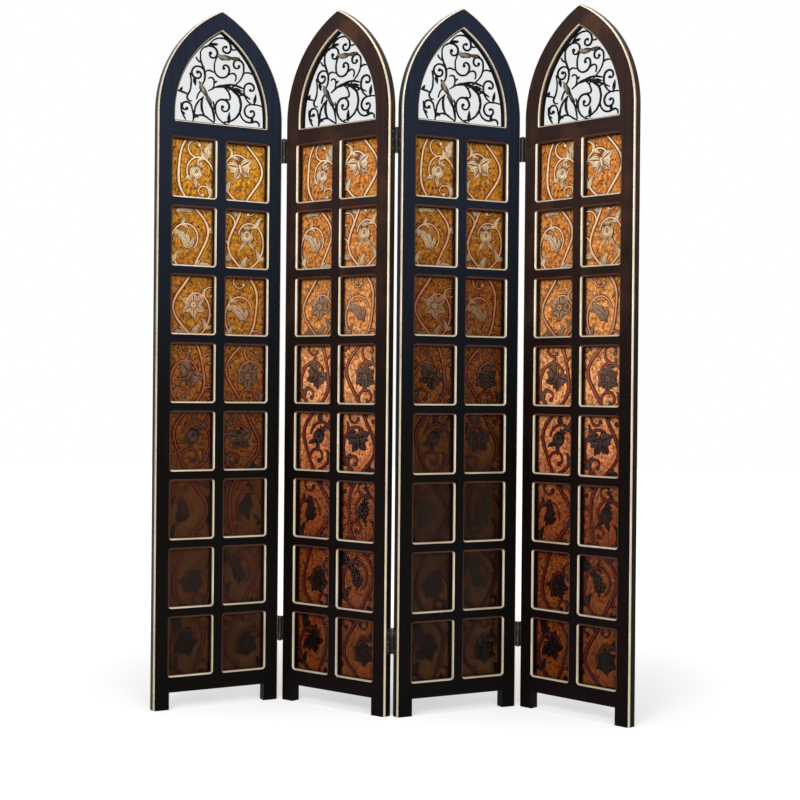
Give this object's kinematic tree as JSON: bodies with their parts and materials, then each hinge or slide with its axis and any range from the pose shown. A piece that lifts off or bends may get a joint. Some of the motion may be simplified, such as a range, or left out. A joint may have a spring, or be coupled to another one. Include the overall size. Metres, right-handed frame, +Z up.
{
  "type": "folding screen",
  "caption": "Tall folding screen with pointed heads: hinged timber-framed panels that hold glazed picture lights, each under a pierced scrollwork grille.",
  "frame": {"origin": "middle of the screen's bounding box in plan, on the floor that the feet stand on", "axes": "+Z up; +X to the right and +Y to the back, as seen from the side with the mouldings and the picture lights' faces"},
  "size_m": [1.4416, 0.3341, 2.1302],
  "materials": {
    "dark_wood": "polished dark varnish with worn gilt lines on the mouldings",
    "picture_board": "embossed board with a scrolling vine relief under a glossy amber varnish that darkens towards the foot",
    "clear_glass": "clear, slightly green",
    "black_iron": "satin black with bronze birds",
    "blackened_steel": "blackened, worn on the edges",
    "bright_steel": "dull bright steel"
  },
  "bodies": {
    "panel_1": {"panel_1_left_stile": "dark_wood", "panel_1_right_stile": "dark_wood", "panel_1_left_head": "dark_wood", "panel_1_right_head": "dark_wood", "panel_1_transom": "dark_wood", "panel_1_bottom_rail": "dark_wood", "panel_1_mullion": "dark_wood", "panel_1_bars": "dark_wood", "panel_1_glass": "clear_glass", "panel_1_picture_board": "picture_board", "panel_1_beads": "dark_wood", "panel_1_grille": "black_iron", "panel_1_hinge_leaves": "blackened_steel", "panel_1_hinge_screws": "bright_steel"},
    "panel_2": {"panel_2_left_stile": "dark_wood", "panel_2_right_stile": "dark_wood", "panel_2_left_head": "dark_wood", "panel_2_right_head": "dark_wood", "panel_2_transom": "dark_wood", "panel_2_bottom_rail": "dark_wood", "panel_2_mullion": "dark_wood", "panel_2_bars": "dark_wood", "panel_2_glass": "clear_glass", "panel_2_picture_board": "picture_board", "panel_2_beads": "dark_wood", "panel_2_grille": "black_iron", "panel_2_hinge_leaves": "blackened_steel", "panel_2_hinge_screws": "bright_steel", "hinge_pins_1_2": "bright_steel", "hinge_pins_2_3": "bright_steel"},
    "panel_3": {"panel_3_left_stile": "dark_wood", "panel_3_right_stile": "dark_wood", "panel_3_left_head": "dark_wood", "panel_3_right_head": "dark_wood", "panel_3_transom": "dark_wood", "panel_3_bottom_rail": "dark_wood", "panel_3_mullion": "dark_wood", "panel_3_bars": "dark_wood", "panel_3_glass": "clear_glass", "panel_3_picture_board": "picture_board", "panel_3_beads": "dark_wood", "panel_3_grille": "black_iron", "panel_3_hinge_leaves": "blackened_steel", "panel_3_hinge_screws": "bright_steel", "hinge_pins_3_4": "bright_steel"},
    "panel_4": {"panel_4_left_stile": "dark_wood", "panel_4_right_stile": "dark_wood", "panel_4_left_head": "dark_wood", "panel_4_right_head": "dark_wood", "panel_4_transom": "dark_wood", "panel_4_bottom_rail": "dark_wood", "panel_4_mullion": "dark_wood", "panel_4_bars": "dark_wood", "panel_4_glass": "clear_glass", "panel_4_picture_board": "picture_board", "panel_4_beads": "dark_wood", "panel_4_grille": "black_iron", "panel_4_hinge_leaves": "blackened_steel", "panel_4_hinge_screws": "bright_steel"}
  },
  "joints": [
    {"name": "fold_1_2", "type": "hinge", "parent": "panel_2", "child": "panel_1", "pos_m": [-0.3508, 0.14096, 0.223], "axis": [0, 0, 1], "range_deg": [-65, 115]},
    {"name": "fold_2_3", "type": "hinge", "parent": "panel_2", "child": "panel_3", "pos_m": [0.01016, -0.06053, 0.223], "axis": [0, 0, 1], "range_deg": [-62.5, 117.5]},
    {"name": "fold_3_4", "type": "hinge", "parent": "panel_3", "child": "panel_4", "pos_m": [0.39161, 0.0988, 0.223], "axis": [0, 0, -1], "range_deg": [-69.5, 110.5]}
  ]
}
